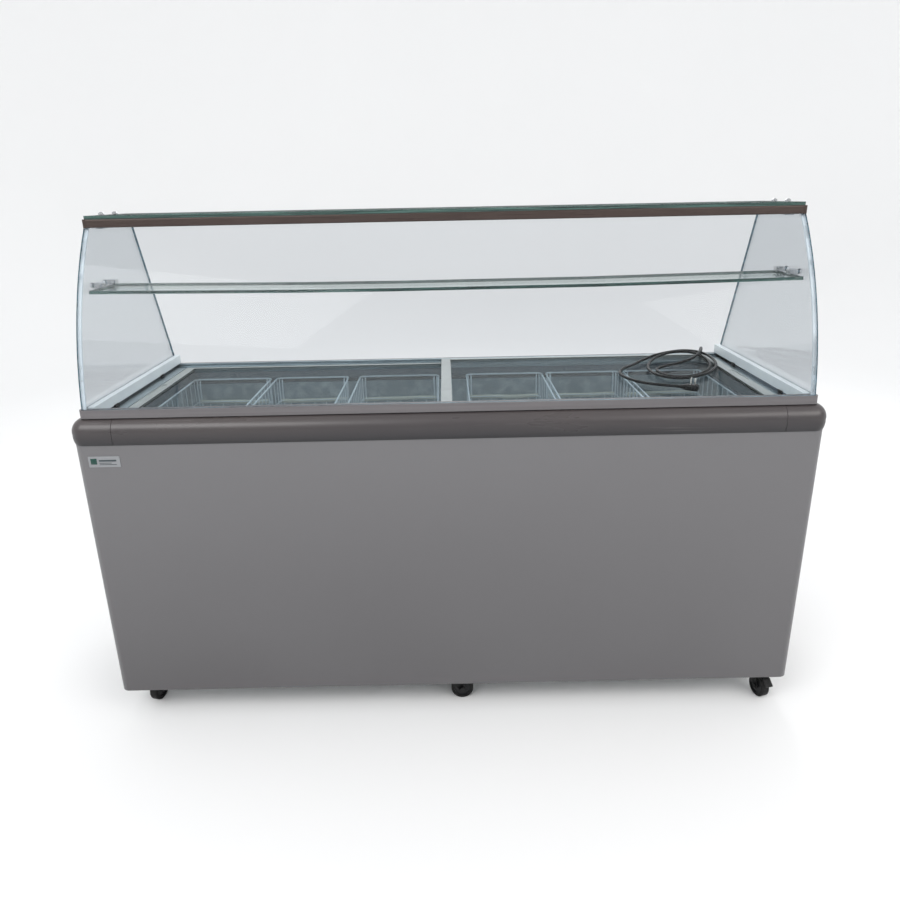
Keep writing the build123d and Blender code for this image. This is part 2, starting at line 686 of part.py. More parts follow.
def compressor():
    """Welded shell on a foot plate, with its terminal cover."""
    edges = [Line((0, 118), (62, 118)), Line((62, 118), (80, 136)), Line((80, 136), (80, 235)),
             dome((80, 235), 285), Line((0, 285), (0, 118))]
    shell = Pos(UNIT_X, COMPRESSOR_Y, 0) * revolve(Plane.XZ * make_face(edges), axis=Axis.Z)
    foot = box(UNIT_X - 95, UNIT_X + 95, COMPRESSOR_Y - 70, COMPRESSOR_Y + 70, 114, 118)
    foot = fillet(foot.edges().filter_by(Axis.Z), 12)
    terminal = box(UNIT_X + 70, UNIT_X + 112, COMPRESSOR_Y - 28, COMPRESSOR_Y + 28, 155, 215)
    save("compressor", shell + foot + fillet(terminal.edges().filter_by(Axis.Z), 5))
    mounts = []
    for dx in (-80, 80):
        for dy in (-56, 56):
            mounts.append(rod_z(UNIT_X + dx, COMPRESSOR_Y + dy, CASTER_H + SHEET, 114, 11))
    save("compressor_mounts", mounts)


def condenser():
    """Fin pack between two end plates, with its serpentine tube ends."""
    x0, x1 = 620.0, 868.0
    y0, y1 = 246.0, 292.0
    z0, z1 = CASTER_H + SHEET, 352.0
    fins = [box(x, x + 1.2, y0, y1, z0 + 6, z1) for x in (x0 + 6 + 8 * i for i in range(29))]
    core = box(x0, x0 + 1.5, y0, y1, z0, z1) + box(x1 - 1.5, x1, y0, y1, z0, z1)
    for fin in fins:
        core += fin
    for row in range(5):
        core += rod_x(x0, x1, (y0 + y1) / 2, z0 + 40 + 46 * row, 4.5)
    save("condenser", core)


def fan():
    """Plate with a round mouth, a motor on a bracket across it and a four-blade fan."""
    plate = box(620, 868, 240, 242, CASTER_H + SHEET, 352) - rod_y(UNIT_X, 240, 242, FAN_Z, FAN_R + 6)
    collar = rod_y(UNIT_X, 205, 240, FAN_Z, FAN_R + 8) - rod_y(UNIT_X, 205, 240, FAN_Z, FAN_R + 6)
    save("fan_shroud", plate + collar)
    body = rod_y(UNIT_X, 150, 196, FAN_Z, 32)
    shaft = rod_y(UNIT_X, 196, 226, FAN_Z, 3)
    foot = box(UNIT_X - 20, UNIT_X + 20, 152, 156, CASTER_H + SHEET, FAN_Z - 20)
    base = box(UNIT_X - 26, UNIT_X + 26, 130, 190, CASTER_H + SHEET, CASTER_H + SHEET + 3)
    save("fan_motor", body + shaft + foot + base)
    rotor = rod_y(UNIT_X, 207, 225, FAN_Z, 20) - rod_y(UNIT_X, 200, 230, FAN_Z, 3 + RUN_GAP)
    for quarter in range(4):
        blade = Pos(52, 0, 0) * Rot(32, 0, 0) * Box(72, 2, 30)
        rotor += Pos(UNIT_X, 216, FAN_Z) * Rot(0, 90 * quarter, 0) * blade
    save("fan_blade", rotor - rod_y(UNIT_X, 200, 230, FAN_Z, 3 + RUN_GAP))


def pipe(points, r, bend):
    """Round pipe along straight runs with equal bends."""
    path = FilletPolyline(*points, radius=bend)
    start = Plane(origin=path @ 0, z_dir=path % 0)
    return sweep(start * Circle(r), path=path)


def evaporator():
    """Pipe wrapped round the tub, turning back at each level, with its inlet and return."""
    off = EVAPORATOR_R + 0.3
    x = WELL_W / 2 + LINER + off
    y = WELL_D / 2 + LINER + off
    left, right = 700.0, 740.0
    points = [(left, y, COMPARTMENT_TOP - 15)]
    for index, z in enumerate(EVAPORATOR_LEVELS):
        ring = [(-x, y, z), (-x, -y, z), (x, -y, z), (x, y, z)]
        start, end = (left, right) if index % 2 == 0 else (right, left)
        ring = ring if index % 2 == 0 else ring[::-1]
        points += [(start, y, z)] + ring + [(end, y, z)]
    points += [(right, y + 34, EVAPORATOR_LEVELS[-1]), (right, y + 34, COMPARTMENT_TOP - 30)]
    return pipe(points, EVAPORATOR_R, LINER_R + LINER + off - 4)


def refrigerant_pipes():
    discharge = pipe([(UNIT_X - 90, COMPRESSOR_Y, 170), (640, COMPRESSOR_Y, 170), (640, COMPRESSOR_Y, 330),
                      (640, 225, 330)], 3, 12)
    liquid = pipe([(640, 225, 150), (640, 180, 150), (640, 180, 190)], 3, 10)
    drier = rod_z(640, 180, 205, 290, 10) + rod_z(640, 180, 192, 205, 4) + rod_z(640, 180, 290, 303, 4)
    save("refrigerant_pipes", evaporator(), discharge, liquid, drier)


def machine_cover():
    """Louvred plate over the compartment's rear window, with a hole for the thermostat spindle."""
    y0 = HALF_D
    y1 = y0 + SHEET
    cover = box(604, 880, y0, y1, 97, 368)
    hood = outline([(y1 - 0.4, 7.0), (y1 + 5.0, 0.0), (y1 + 5.0, -1.2), (y1 - 0.4, 5.6)])
    for row in range(9):
        z = 122 + 18 * row
        cover -= box(628, 812, y0, y1, z, z + 6)
        cover += Pos(0, 0, z + 0.5) * prism_x(hood, 628, 812)
    cover -= rod_y(KNOB_X, y0 - 1, y1 + 1, KNOB_Z, 5)
    save("machine_cover", cover)
    heads = []
    for x in (609, 875):
        for z in (102, 363):
            heads.append(rod_y(x, y1, y1 + 2.2, z, 4.5))
    save("cover_screws", heads)


def thermostat():
    """Control body behind the cover, its spindle through the cover and the knob outside."""
    y1 = HALF_D + SHEET
    body = box(KNOB_X - 22, KNOB_X + 22, 296, HALF_D - 2, KNOB_Z - 15, KNOB_Z + 15)
    save("thermostat", body + rod_y(KNOB_X, HALF_D - 2, y1 + 6, KNOB_Z, 3))
    knob = rod_y(KNOB_X, y1 + 0.4, y1 + 9.4, KNOB_Z, 14)
    knob = fillet(knob.edges().sort_by(Axis.Y)[-1], 1.5)
    knob -= rod_y(KNOB_X, y1, y1 + 6.2, KNOB_Z, 3 + RUN_GAP)
    knob -= box(KNOB_X - 1, KNOB_X + 1, y1 + 8.4, y1 + 10, KNOB_Z + 3, KNOB_Z + 13)
    save("thermostat_knob", knob)


# ---------------------------------------------------------------- mains cord


def bend_radii(points):
    """Radius at each inner point: 0.45 of the shorter run over the tangent of half the turn."""
    radii = []
    for before, here, after in zip(points, points[1:], points[2:]):
        arriving = Vector(*here) - Vector(*before)
        leaving = Vector(*after) - Vector(*here)
        half_turn = radians(arriving.get_angle(leaving)) / 2
        radii.append(0.45 * min(arriving.length, leaving.length) / tan(half_turn))
    return radii


def cord_run(name, points):
    radii = bend_radii(points)
    path = FilletPolyline(*points, radius=radii)
    start = Plane(origin=path @ 0, z_dir=path % 0)
    tube = sweep(start * Circle(CORD_R), path=path)
    expected = pi * CORD_R ** 2 * path.length
    print(name, "radii", [round(r) for r in radii], "length", round(path.length),
          "volume ratio", round(tube.volume / expected, 4))
    return tube


def cord():
    """Two lengths of cord, the loose coil between them, the gland and the angled plug."""
    rear = cord_run("rear", REAR_ROUTE)
    lead = cord_run("lead", LEAD_ROUTE)
    save("cord_tube", rear, lead)
    band = Ellipse(*COIL_OUTER) - Ellipse(*COIL_INNER)
    save("cord_coil", prism_z(Pos(*COIL_CENTRE) * Rot(0, 0, COIL_TURN) * band, *COIL_Z))
    x, y, z = GLAND
    clamp = box(x - 14, x + 14, HALF_D + SHEET, y + 9, z - 22, z + 10)
    clamp = fillet(clamp.edges().filter_by(Axis.Z).sort_by(Axis.Y)[-2:], 5)
    sleeve = Pos(x, y, z + 16) * Cone(7.5, 5.5, 12)
    save("cord_gland", clamp + sleeve)
    save("plug", plug())


def plug():
    """Angled plug lying on its back, with two flat blades and an earth pin upwards."""
    end = Vector(*LEAD_ROUTE[-1])
    run = end - Vector(*LEAD_ROUTE[-2])
    heading = degrees(atan2(run.Y, run.X))
    body = outline([(0, -6), (9, -11), (34, -13), (38, -9), (38, 9), (34, 13), (9, 11), (0, 6)])
    body = prism_z(body, -8.2, 9)
    blades = box(17, 18.5, -9.5, -3, 9, 26) + box(17, 18.5, 3, 9.5, 9, 26) + rod_z(28, 0, 9, 26, 2.4)
    return Pos(*end) * Rot(0, 0, heading) * (body + blades)


cabinet_shell()
base_pan()
foam()
inner_liner()
breaker_strips()
bumper()
front_rail()
side_channels()
lid_tracks()
rubber_pads()
front_glass()
side_glass()
top_glass()
head_rail()
glass_shelf()
clamps()
cap_nuts()
name_plate()
lids()
baskets()
caster_plates()
casters()
compressor()
condenser()
fan()
refrigerant_pipes()
machine_cover()
thermostat()
cord()

os.makedirs("parts", exist_ok=True)
for name, solids in NODES.items():
    export_step(solids[0] if len(solids) == 1 else Compound(solids), f"parts/{name}.step")
print(len(NODES), "nodes")
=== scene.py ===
"""Looks of a dipping chest freezer with sliding glass lids and a curved-glass display canopy.

Metres, in the frame's own axes: X runs along the front, -Y is the customer side and +Z is up.
"""

import math

import bmesh
import bpy
from mathutils import Matrix, Vector


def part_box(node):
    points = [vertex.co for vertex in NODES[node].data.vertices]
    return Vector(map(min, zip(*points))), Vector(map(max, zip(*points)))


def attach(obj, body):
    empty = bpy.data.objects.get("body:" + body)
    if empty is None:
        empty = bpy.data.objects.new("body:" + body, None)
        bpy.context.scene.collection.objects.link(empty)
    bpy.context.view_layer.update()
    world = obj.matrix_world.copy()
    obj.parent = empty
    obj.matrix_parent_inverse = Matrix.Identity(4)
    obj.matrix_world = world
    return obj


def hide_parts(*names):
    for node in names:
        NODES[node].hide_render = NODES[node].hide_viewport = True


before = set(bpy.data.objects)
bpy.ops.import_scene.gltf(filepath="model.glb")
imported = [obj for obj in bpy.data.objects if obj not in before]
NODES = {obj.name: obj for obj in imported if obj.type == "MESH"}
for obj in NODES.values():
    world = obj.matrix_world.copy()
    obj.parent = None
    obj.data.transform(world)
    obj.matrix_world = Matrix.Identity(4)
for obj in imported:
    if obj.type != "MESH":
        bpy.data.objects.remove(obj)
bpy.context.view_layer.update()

CABINET = "cabinet"

# Camera at a standing customer's eye height
CAMERA_PLACE = Vector((-0.0034, -2.0130, 1.3538))
CAMERA_PITCH = math.radians(19.199)
CAMERA_YAW = math.radians(0.12)
CAMERA_ROLL = -0.0199
CAMERA_LENS = 29.306

# Round studio that the cabinet stands in
STUDIO_FLOOR_R = 4.6
STUDIO_WALL_R = 6.6
STUDIO_WALL_TOP = 3.4
STUDIO_BEND_STEPS = 8
STUDIO_SIDES = 96

# Mains cord
CORD_R = 0.004
GLAND = Vector((0.850, 0.345, 0.300))
REAR_ROUTE = [(0.850, 0.345, 0.312), (0.850, 0.345, 0.376), (0.848, 0.350, 0.456),
              (0.843, 0.355, 0.560), (0.839, 0.359, 0.660), (0.832, 0.360, 0.760),
              (0.830, 0.3615, 0.822), (0.826, 0.353, 0.857), (0.817, 0.322, 0.8735),
              (0.808, 0.290, 0.8780), (0.797, 0.258, 0.8812), (0.785, 0.227, 0.8815)]
CROSSING = [(0.7625, 0.193, 0.877), (0.732, 0.162, 0.8705), (0.693, 0.139, 0.8654),
            (0.655, 0.117, 0.8652)]
LEAD_ROUTE = [(0.713, 0.274, 0.8735), (0.652, 0.246, 0.8700), (0.596, 0.192, 0.8655),
              (0.553, 0.130, 0.8652), (0.507, 0.080, 0.8652), (0.4845, 0.024, 0.8652),
              (0.4935, -0.036, 0.8652), (0.527, -0.094, 0.8652), (0.5688, -0.1365, 0.8695),
              (0.6129, -0.159, 0.8695)]
COIL_CENTRE = Vector((0.689, 0.112))
COIL_AXIS = math.radians(66)
COIL_START = math.radians(118)
COIL_END = math.radians(726)
COIL_STEP = math.radians(24)
COIL_FIRST = (0.153, 0.074)
COIL_LAST = (0.183, 0.102)
COIL_Z = 0.8652
COIL_SWAY = 0.0035
COIL_LIFT = 0.009
COIL_LIFT_FROM = 0.14
COIL_LIFT_RUN = 0.12

# Sleeve on the cord above its gland
RELIEF_BASE = 0.0222
RELIEF_RIBS = 6
RELIEF_RIB_H = 0.0055
RELIEF_R = 0.0066
RELIEF_TAPER = 0.00032
RELIEF_FIT = 0.0002

# Plug: (distance along it, half width, half height) of its grip, then its blades and pin
PLUG_SECTIONS = [(-0.010, 0.0048, 0.0046), (-0.004, 0.0058, 0.0052), (0.0005, 0.0064, 0.0060),
                 (0.004, 0.0090, 0.0074), (0.009, 0.0112, 0.0083), (0.0125, 0.0106, 0.0080),
                 (0.0145, 0.0122, 0.0085), (0.0175, 0.0112, 0.0081), (0.0195, 0.0128, 0.0086),
                 (0.0225, 0.0117, 0.0082), (0.0245, 0.0131, 0.0086), (0.032, 0.0131, 0.0086),
                 (0.0365, 0.0108, 0.0078), (0.038, 0.0080, 0.0060)]
PLUG_SIDES = 28
PLUG_ROUNDNESS = 0.62
PLUG_RISE = 0.0004
PLUG_FACE = 0.0085
BLADE_X = 0.01775
BLADE_Y = 0.00625
BLADE_HALF_LENGTH = 0.0087
BLADE_HALF_WIDTH = 0.0031
BLADE_HALF_THICKNESS = 0.00075
PIN_X = 0.028
PIN_PROFILE = [(0.0024, 0.0), (0.0024, 0.0140), (0.0021, 0.0158), (0.0012, 0.0170), (0.0003, 0.0173)]

# Wire baskets
BASKETS = 6
RIM_R = 0.0025
MESH_R = 0.0015
MESH_PITCH = 0.041
RIM_CORNER = 0.014
WIRE_BEND = 0.016
BEND_STEPS = 4
WALL_INSET = 0.0095
POST_INSETS = (0.006, 0.015)
OPEN_BAND = 0.070
HOOPS = 4
LOWEST_HOOP = 0.045

# Strips along the baskets' long walls, measured down from the rim
STRIP_TOP = 0.0670
STRIP_BOTTOM = 0.0785
STRIP_END = 0.012
STRIP_INSET = 0.0034
STRIP_THICKNESS = 0.0012
STRIP_STEPS = 28

# Badge: (height from the plate's middle, half width, half height) of its bars
BADGE_TAB = 0.0075
BADGE_BARS = [(0.0028, 0.021, 0.0022), (-0.0034, 0.015, 0.0007), (-0.0072, 0.021, 0.0007)]
BADGE_TAB_X = 0.013
BADGE_BARS_X = 0.026

# Machine cover's screws and dial
SCREW_R = 0.0045
SCREW_SIDES = 32
COVER_THICKNESS = 0.0012
DIAL_TICKS = 13
DIAL_START = 225
DIAL_STEP = 22.5

# Tests for faces that get a second finish: glass arc in (Y, Z), gap under the front rail, tread
GLASS_ARC_CENTRE = (0.5349, 0.7657)
RAIL_GAP = 0.0019
TREAD_R = 0.0245
CASTERS = 6


def linear(*levels):
    """A display colour of three levels from 0 to 255, as linear light."""
    shares = [level / 255 for level in levels]
    return tuple(s / 12.92 if s <= 0.04045 else ((s + 0.055) / 1.055) ** 2.4 for s in shares)


# ---------------------------------------------------------------- materials


class Finish:
    """A procedural material: one principled shader, and short calls that add patterns to it."""

    def __init__(self, name, colour, roughness, **inputs):
        self.made = bpy.data.materials.new(name)
        self.made.use_nodes = True
        self.tree = self.made.node_tree
        self.shader = self.tree.nodes["Principled BSDF"]
        self.place = self.add("ShaderNodeTexCoord").outputs["Object"]
        self.set(self.shader, {"Base Color": (*colour, 1), "Roughness": roughness, **inputs})
        self.normal = None

    def set(self, node, inputs):
        for key, value in inputs.items():
            if isinstance(value, bpy.types.NodeSocket):
                self.tree.links.new(value, node.inputs[key])
            else:
                node.inputs[key].default_value = value

    def add(self, kind, inputs=None, **settings):
        node = self.tree.nodes.new(kind)
        for key, value in settings.items():
            setattr(node, key, value)
        self.set(node, inputs or {})
        return node

    def stretched(self, stretch):
        return self.add("ShaderNodeMapping", {"Vector": self.place, "Scale": stretch}).outputs["Vector"]

    def noise(self, scale, detail=3.0, stretch=(1, 1, 1)):
        inputs = {"Vector": self.stretched(stretch), "Scale": scale, "Detail": detail, "Roughness": 0.55}
        return self.add("ShaderNodeTexNoise", inputs).outputs["Fac"]

    def cells(self, scale, feature="F1"):
        inputs = {"Vector": self.place, "Scale": scale}
        return self.add("ShaderNodeTexVoronoi", inputs, feature=feature).outputs["Distance"]

    def value(self, factor, low, high, start=0.3, end=0.7):
        """A number that runs from low to high as the factor goes from start to end."""
        inputs = {"Value": factor, "From Min": start, "From Max": end, "To Min": low, "To Max": high}
        return self.add("ShaderNodeMapRange", inputs).outputs["Result"]

    def mix(self, factor, low, high):
        """A colour between two, each a colour or a socket."""
        node = self.add("ShaderNodeMix", {"Factor": factor}, data_type="RGBA")
        for slot, colour in ((6, low), (7, high)):
            if isinstance(colour, bpy.types.NodeSocket):
                self.tree.links.new(colour, node.inputs[slot])
            else:
                node.inputs[slot].default_value = (*colour, 1)
        return node.outputs[2]

    def paint(self, colour):
        self.set(self.shader, {"Base Color": colour})

    def shine(self, roughness):
        self.set(self.shader, {"Roughness": roughness})

    def bump(self, height, depth):
        """Relief of a depth in metres, on top of any relief added before it."""
        inputs = {"Height": height, "Distance": depth, "Strength": 1.0}
        if self.normal:
            inputs["Normal"] = self.normal
        self.normal = self.add("ShaderNodeBump", inputs).outputs["Normal"]
        self.set(self.shader, {"Normal": self.normal})

    def axis(self, name):
        """The place along one axis, in metres."""
        return self.add("ShaderNodeSeparateXYZ", {"Vector": self.place}).outputs[name]


def painted_steel(name, colour, foot_shade_colour):
    """Pre-painted sheet: faint orange peel, slow tone changes, smudges, and painted shade that darkens it
    towards the foot.
    """
    paint = Finish(name, colour, 0.34, **{"Coat Weight": 0.25, "Coat Roughness": 0.22})
    tone = paint.value(paint.noise(1.3, 2, (0.7, 1, 1)), 0.0, 0.55)
    # Painted shade: the sheet darkens towards the foot, where less light falls.
    painted_shade_ramp = paint.value(paint.axis("Z"), 1.0, 0.0, 0.09, 0.75)
    with_painted_shade = paint.mix(painted_shade_ramp, colour, foot_shade_colour)
    paint.paint(paint.mix(tone, with_painted_shade, tuple(0.93 * c for c in colour)))
    paint.shine(paint.value(paint.noise(5, 5), 0.31, 0.39))
    paint.bump(paint.noise(420, 2), 0.00006)
    paint.bump(paint.noise(2.2, 1, (1, 1, 0.6)), 0.0011)
    return paint.made


def rail_paint():
    """Powder-coated aluminium extrusion with fine lengthwise drawing lines."""
    paint = Finish("rail_paint", linear(101, 98, 100), 0.36)
    lines = paint.noise(60, 3, (0.05, 3, 3))
    paint.paint(paint.mix(paint.value(lines, 0, 1), linear(93, 90, 92), linear(102, 99, 101)))
    paint.shine(paint.value(paint.noise(14, 4), 0.3, 0.46))
    paint.bump(paint.noise(520, 2), 0.00004)
    return paint.made


def bumper_plastic():
    """Moulded bumper: warm dark grey, darkened by painted shade towards its lower edge, with pale scuffs that
    run along it.
    """
    plastic = Finish("bumper_plastic", linear(64, 60, 61), 0.3, **{"Specular IOR Level": 0.45})
    tone = plastic.value(plastic.noise(1.6, 2), 0, 1)
    # Painted shade: the bumper darkens towards linear(38, 37, 40) at its lower edge, where less light falls.
    rise = plastic.value(plastic.axis("Z"), 0, 1, 0.800, 0.856)
    body = plastic.mix(rise, linear(38, 37, 40), plastic.mix(tone, linear(72, 67, 68), linear(82, 76, 75)))
    scuff = plastic.value(plastic.noise(30, 4, (0.09, 1, 4)), 0, 0.26, 0.63, 0.72)
    plastic.paint(plastic.mix(scuff, body, linear(140, 138, 138)))
    plastic.shine(plastic.value(plastic.noise(22, 4, (0.2, 1, 1)), 0.26, 0.36))
    plastic.bump(plastic.noise(700, 2), 0.00003)
    plastic.bump(plastic.noise(7, 2, (0.3, 1, 1)), 0.0005)
    return plastic.made


def moulded(name, colour, roughness=0.42, gloss=0.5):
    """Fine-grained moulded plastic with slightly uneven gloss and tone."""
    plastic = Finish(name, colour, roughness, **{"Specular IOR Level": gloss})
    tone = plastic.value(plastic.noise(9, 4), 0, 1)
    plastic.paint(plastic.mix(tone, tuple(0.9 * c for c in colour), tuple(min(1, 1.05 * c) for c in colour)))
    plastic.shine(plastic.value(plastic.noise(35, 3), roughness - 0.08, roughness + 0.1))
    plastic.bump(plastic.noise(900, 2), 0.00005)
    return plastic.made


def brushed(name, colour, roughness, stretch, metallic=1.0):
    """Metal with fine lines along one axis, small stains and changing gloss."""
    metal = Finish(name, colour, roughness, Metallic=metallic)
    lines = metal.noise(240, 4, stretch)
    stain = metal.value(metal.noise(11, 5), 0, 0.6, 0.52, 0.75)
    lined = metal.mix(metal.value(lines, 0, 1), tuple(0.86 * c for c in colour), colour)
    metal.paint(metal.mix(stain, lined, tuple(0.72 * c for c in colour)))
    metal.shine(metal.value(lines, roughness - 0.07, roughness + 0.12))
    metal.bump(lines, 0.00003)
    return metal.made


def stucco_aluminium():
    """Embossed liner sheet: rounded dimples, dull patches and thin frost."""
    metal = Finish("liner_aluminium", linear(150, 160, 162), 0.38, Metallic=0.75)
    dimple = metal.cells(230, feature="SMOOTH_F1")
    frost = metal.value(metal.noise(26, 6), 0, 0.75, 0.45, 0.7)
    metal.paint(metal.mix(frost, linear(168, 180, 184), linear(214, 222, 224)))
    metal.set(metal.shader, {"Metallic": metal.value(frost, 0.8, 0.2, 0, 1)})
    metal.shine(metal.value(frost, 0.3, 0.6, 0, 1))
    metal.bump(dimple, 0.0007)
    metal.bump(metal.noise(3, 2), 0.002)
    return metal.made


def galvanised():
    """Zinc spangle: pale crystal patches of different tone and gloss."""
    metal = Finish("galvanised", linear(150, 153, 154), 0.42, Metallic=0.9)
    inputs = {"Vector": metal.place, "Scale": 90.0}
    spangle = metal.add("ShaderNodeTexVoronoi", inputs).outputs["Color"]
    grey = metal.add("ShaderNodeRGBToBW", {"Color": spangle}).outputs["Val"]
    metal.paint(metal.mix(grey, linear(128, 132, 134), linear(176, 179, 180)))
    metal.shine(metal.value(grey, 0.32, 0.55, 0, 1))
    metal.bump(grey, 0.00004)
    return metal.made


def foam():
    """Rigid polyurethane foam with open cells and a yellowed skin."""
    block = Finish("foam", linear(226, 206, 150), 0.9)
    block.paint(block.mix(block.noise(40, 6), linear(206, 182, 122), linear(238, 224, 176)))
    block.bump(block.cells(900), 0.0006)
    return block.made


def black_rubber(name, colour, grain=350):
    rubber = Finish(name, colour, 0.6, **{"Specular IOR Level": 0.25})
    dust = rubber.value(rubber.noise(60, 5), 0, 0.15, 0.5, 0.75)
    rubber.paint(rubber.mix(dust, colour, linear(96, 94, 92)))
    rubber.shine(rubber.value(rubber.noise(30, 3), 0.45, 0.75))
    rubber.bump(rubber.noise(grain, 3), 0.0001)
    return rubber.made


def black_enamel():
    enamel = Finish("black_enamel", linear(22, 22, 24), 0.25, **{"Coat Weight": 0.5})
    dust = enamel.value(enamel.noise(45, 6), 0, 0.5, 0.48, 0.8)
    enamel.paint(enamel.mix(dust, linear(20, 20, 22), linear(90, 86, 80)))
    enamel.shine(enamel.value(dust, 0.22, 0.7, 0, 1))
    enamel.bump(enamel.noise(260, 2), 0.00008)
    return enamel.made


def copper():
    metal = Finish("copper", linear(196, 122, 88), 0.3, Metallic=1.0)
    aged = metal.value(metal.noise(55, 5), 0, 1, 0.4, 0.7)
    metal.paint(metal.mix(aged, linear(200, 128, 94), linear(120, 78, 60)))
    metal.shine(metal.value(aged, 0.25, 0.55, 0, 1))
    return metal.made


def cord_sheath():
    """Soft black PVC, a little greasy, with dust on it."""
    sheath = Finish("cord_sheath", linear(8, 8, 9), 0.38, **{"Specular IOR Level": 0.2})
    dust = sheath.value(sheath.noise(90, 4), 0, 0.12, 0.5, 0.8)
    sheath.paint(sheath.mix(dust, linear(8, 8, 9), linear(80, 80, 82)))
    sheath.shine(sheath.value(sheath.noise(70, 3), 0.28, 0.5))
    sheath.bump(sheath.noise(600, 2), 0.00005)
    return sheath.made


def pane(name, tint, mirror, dust):
    """Clear glass as a tinted see-through sheet with a mirror layer and a little dust."""
    glass = Finish(name, linear(205, 212, 210), 0.35)
    tree = glass.tree
    clear = glass.add("ShaderNodeBsdfTransparent", {"Color": (*tint, 1)})
    glossy = glass.add("ShaderNodeBsdfGlossy", {"Color": (0.95, 0.98, 0.97, 1), "Roughness": 0.03})
    rim = glass.add("ShaderNodeFresnel", {"IOR": 1.45}).outputs["Fac"]
    shine = glass.value(rim, 0.0, mirror, 0.0, 1.0)
    polished = glass.add("ShaderNodeMixShader", {"Fac": shine})
    tree.links.new(clear.outputs["BSDF"], polished.inputs[1])
    tree.links.new(glossy.outputs["BSDF"], polished.inputs[2])
    smear = glass.value(glass.noise(6, 6, (1, 1, 0.5)), dust * 0.4, dust * 1.6)
    dusty = glass.add("ShaderNodeMixShader", {"Fac": smear})
    tree.links.new(polished.outputs["Shader"], dusty.inputs[1])
    tree.links.new(glass.shader.outputs["BSDF"], dusty.inputs[2])
    tree.links.new(dusty.outputs["Shader"], tree.nodes["Material Output"].inputs["Surface"])
    return glass.made


def glass_edge(name, dark, light):
    """Ground glass edge: deep green with paler streaks along it."""
    edge = Finish(name, dark, 0.16, **{"Specular IOR Level": 0.7})
    streak = edge.value(edge.noise(18, 5, (0.35, 1, 30)), 0, 1, 0.42, 0.66)
    edge.paint(edge.mix(streak, dark, light))
    edge.bump(edge.noise(500, 2), 0.00004)
    return edge.made


def plate_plastic():
    plate = Finish("badge_plate", linear(128, 130, 133), 0.3)
    plate.paint(plate.mix(plate.noise(60, 3), linear(124, 126, 129), linear(136, 138, 141)))
    plate.bump(plate.noise(800, 1), 0.00003)
    return plate.made


def studio_paint():
    wall = Finish("studio", (0.91, 0.91, 0.91), 0.9)
    wall.paint(wall.mix(wall.noise(0.8, 3), (0.90, 0.90, 0.90), (0.92, 0.92, 0.92)))
    return wall.made


MATERIALS = {
    # The second colour is painted shade at the foot of the panels.
    "grey_paint": painted_steel("grey_paint", linear(100, 99, 101), linear(77, 75, 77)),
    "rail_paint": rail_paint(),
    "bumper_plastic": bumper_plastic(),
    # Breaker strip plastic: blue-grey, its dark tone partly painted shade under the rim and the lids.
    "slate_plastic": moulded("slate_plastic", linear(70, 84, 96)),
    "white_plastic": moulded("white_plastic", linear(242, 249, 253), 0.36),
    "lid_plastic": moulded("lid_plastic", linear(172, 178, 176), 0.38),
    "track_aluminium": brushed("track_aluminium", linear(168, 182, 188), 0.32, (0.02, 2, 2)),
    "liner_aluminium": stucco_aluminium(),
    "foam": foam(),
    "clear_glass": pane("clear_glass", (0.885, 0.895, 0.905), 0.17, 0.005),
    "lid_glass": pane("lid_glass", (0.90, 0.935, 0.95), 0.12, 0.008),
    "shelf_glass": pane("shelf_glass", (0.90, 0.93, 0.92), 0.3, 0.012),
    "green_edge": glass_edge("green_edge", linear(18, 46, 42), linear(74, 110, 102)),
    "pale_edge": glass_edge("pale_edge", linear(44, 72, 86), linear(120, 156, 170)),
    "seal": moulded("seal", linear(232, 242, 248), 0.3),
    # Head rail: polished metal whose warm brown colour is a painted reflection of warm brown surroundings.
    "head_rail_metal": brushed("head_rail_metal", linear(74, 63, 59), 0.32, (0.02, 2, 2), 0.6),
    "polished_steel": brushed("polished_steel", linear(196, 198, 200), 0.2, (1, 1, 1)),
    "galvanised": galvanised(),
    "copper": copper(),
    "black_enamel": black_enamel(),
    "basket_wire": brushed("basket_wire", linear(232, 242, 248), 0.3, (1, 1, 1), 0.15),
    "caster_steel": black_rubber("caster_steel", linear(24, 24, 25), 500),
    "wheel_rubber": black_rubber("wheel_rubber", linear(16, 16, 16)),
    "wheel_hub": moulded("wheel_hub", linear(28, 28, 30), 0.35, gloss=0.3),
    "black_rubber": black_rubber("black_rubber", linear(12, 12, 13)),
    "black_plastic": moulded("black_plastic", linear(12, 12, 13), 0.4, gloss=0.2),
    "cord_sheath": cord_sheath(),
    "plate_white": plate_plastic(),
    "cream_strip": moulded("cream_strip", linear(226, 226, 208), 0.45),
    "badge_green": moulded("badge_green", linear(18, 62, 54), 0.3),
    "badge_grey": moulded("badge_grey", linear(52, 62, 66), 0.35),
    "gap_shadow": black_rubber("gap_shadow", linear(40, 38, 40)),
    "brass": brushed("brass", linear(246, 244, 236), 0.28, (1, 1, 1), 0.3),
    "studio": studio_paint(),
}


# ---------------------------------------------------------------- mesh helpers


def piece(name, bm, material):
    """A smooth-shaded mesh object made from a bmesh, which it frees."""
    bmesh.ops.recalc_face_normals(bm, faces=bm.faces)
    mesh = bpy.data.meshes.new(name)
    bm.to_mesh(mesh)
    bm.free()
    mesh.materials.append(MATERIALS[material])
    mesh.shade_smooth()
    made = bpy.data.objects.new(name, mesh)
    bpy.context.scene.collection.objects.link(made)
    return made


def wires(name, lines, radius, material, sides=3):
    """Round wires along lists of points; a line whose ends meet is a closed ring."""
    curve = bpy.data.curves.new(name, "CURVE")
    curve.dimensions = "3D"
    curve.bevel_depth = radius
    curve.bevel_resolution = sides
    curve.use_fill_caps = True
    for points, closed in lines:
        spline = curve.splines.new("POLY")
        spline.points.add(len(points) - 1)
        for slot, point in zip(spline.points, points):
            slot.co = (*point, 1)
        spline.use_cyclic_u = closed
        spline.use_smooth = True
    curve.materials.append(MATERIALS[material])
    made = bpy.data.objects.new(name, curve)
    bpy.context.scene.collection.objects.link(made)
    return made


